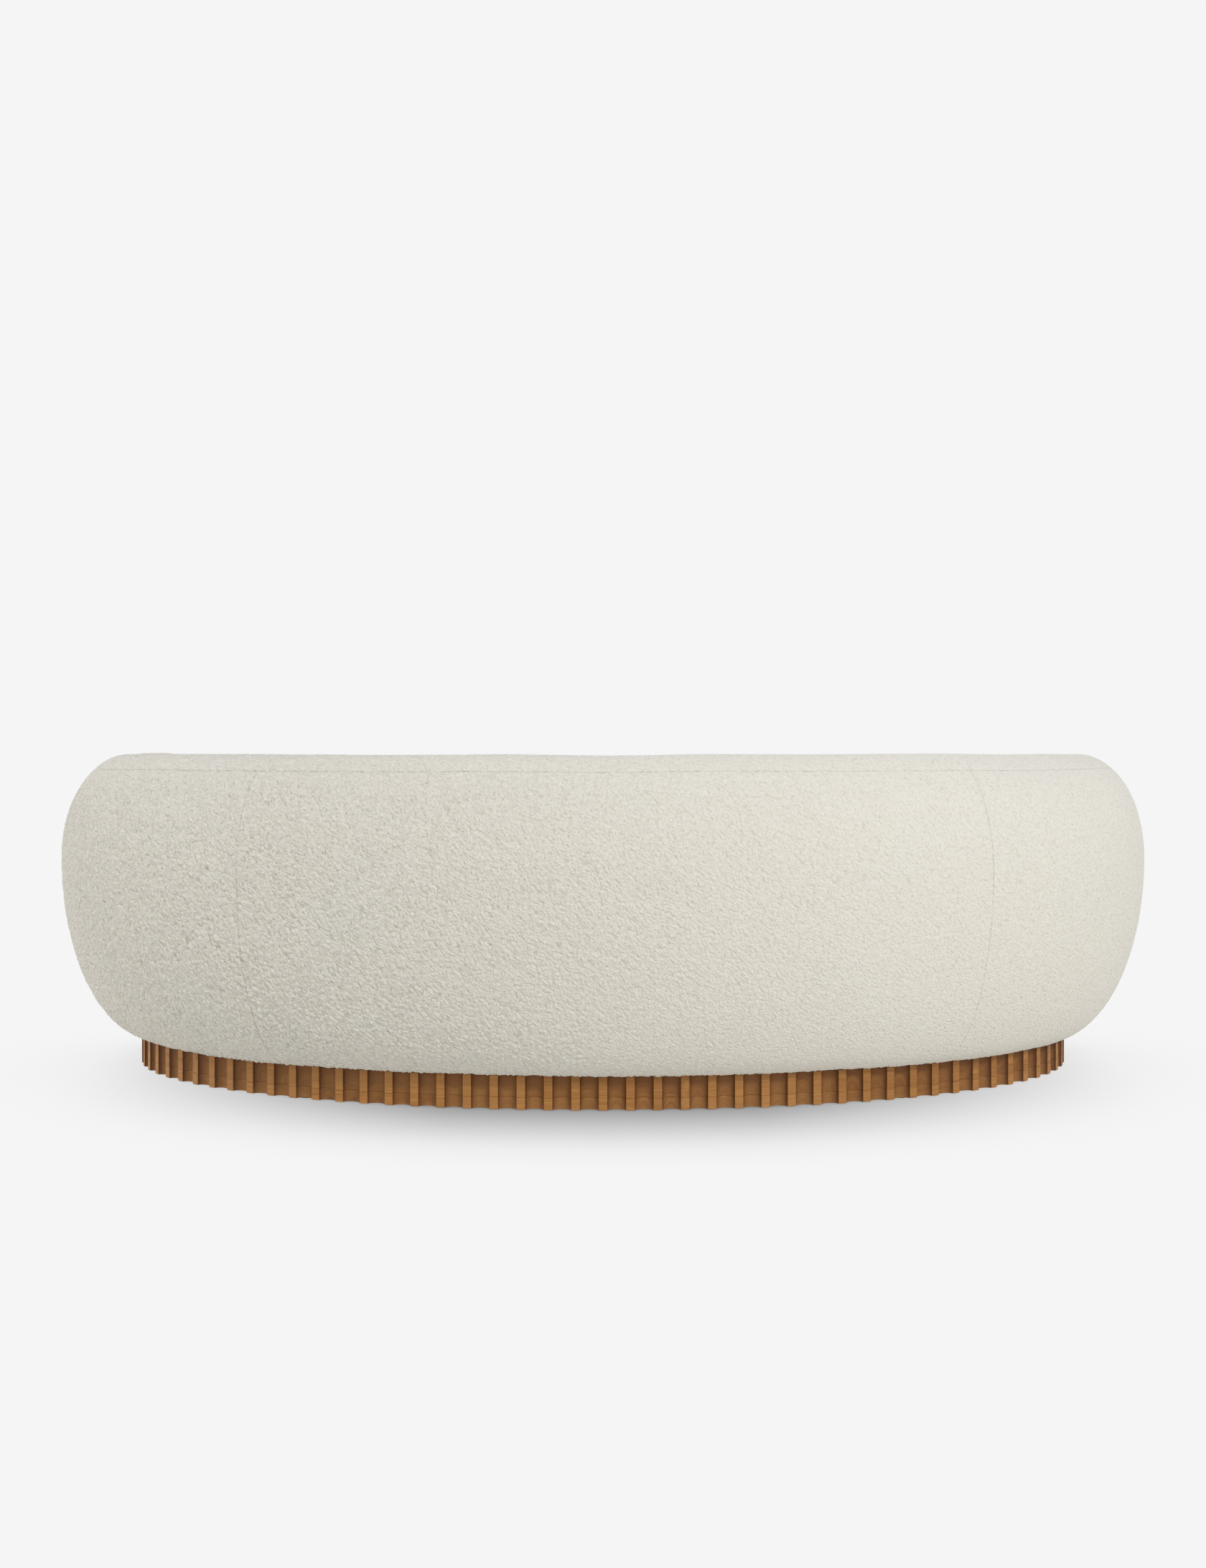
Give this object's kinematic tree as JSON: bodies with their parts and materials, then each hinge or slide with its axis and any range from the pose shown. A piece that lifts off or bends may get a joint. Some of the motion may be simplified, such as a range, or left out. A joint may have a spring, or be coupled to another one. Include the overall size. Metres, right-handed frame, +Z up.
{
  "type": "sofa",
  "caption": "Curved tub sofa with one loose bench cushion, covered in cream boucle, on an inset fluted wooden plinth.",
  "frame": {"origin": "the middle of the footprint box, on the floor", "axes": "+Z up, +X along the length, +Y towards the outside of the back; the sitter faces -Y"},
  "size_m": [2.437, 1.0723, 0.695],
  "materials": {
    "boucle": "looped boucle, matte",
    "plinth_wood": "oiled, satin",
    "padding": "open-cell foam, matte",
    "frame_timber": "sawn, matte",
    "black_cloth": "woven, matte",
    "glide": "moulded, matte"
  },
  "bodies": {
    "frame_and_cover": {"base_board": "frame_timber", "corner_rail_minus": "frame_timber", "corner_rail_plus": "frame_timber", "cover_front_border": "boucle", "cover_inside": "boucle", "cover_outer_back": "boucle", "cover_outer_minus": "boucle", "cover_outer_plus": "boucle", "cover_top": "boucle", "dust_cover": "black_cloth", "foam_front_border": "padding", "foam_inside": "padding", "foam_outer": "padding", "foam_top_roll": "padding", "frame_rib_1": "frame_timber", "frame_rib_2": "frame_timber", "frame_rib_3": "frame_timber", "frame_rib_4": "frame_timber", "frame_rib_5": "frame_timber", "frame_rib_6": "frame_timber", "frame_rib_7": "frame_timber", "front_rail": "frame_timber", "glide_1": "glide", "glide_2": "glide", "glide_3": "glide", "glide_4": "glide", "glide_5": "glide", "glide_6": "glide", "glide_7": "glide", "glide_8": "glide", "plinth_course1_block1": "plinth_wood", "plinth_course1_block2": "plinth_wood", "plinth_course1_block3": "plinth_wood", "plinth_course1_block4": "plinth_wood", "plinth_course1_block5": "plinth_wood", "plinth_course1_block6": "plinth_wood", "plinth_course2_block1": "plinth_wood", "plinth_course2_block2": "plinth_wood", "plinth_course2_block3": "plinth_wood", "plinth_course2_block4": "plinth_wood", "plinth_course2_block5": "plinth_wood", "plinth_course2_block6": "plinth_wood", "plinth_cross_rail_1": "frame_timber", "plinth_cross_rail_2": "frame_timber", "plinth_cross_rail_3": "frame_timber", "rear_rail": "frame_timber", "seat_deck_pad": "padding", "side_rail_minus": "frame_timber", "side_rail_plus": "frame_timber", "stretcher_1": "frame_timber", "stretcher_2": "frame_timber", "stretcher_3": "frame_timber", "top_rail": "frame_timber", "webbing_1": "black_cloth", "webbing_2": "black_cloth", "webbing_3": "black_cloth", "webbing_4": "black_cloth", "webbing_5": "black_cloth"},
    "cushion": {"seat_cushion": "boucle"}
  },
  "joints": [
    {"name": "cushion_lift", "type": "slide", "parent": "frame_and_cover", "child": "cushion", "axis": [0, 0, 1], "range_m": [0, 0.45]}
  ]
}
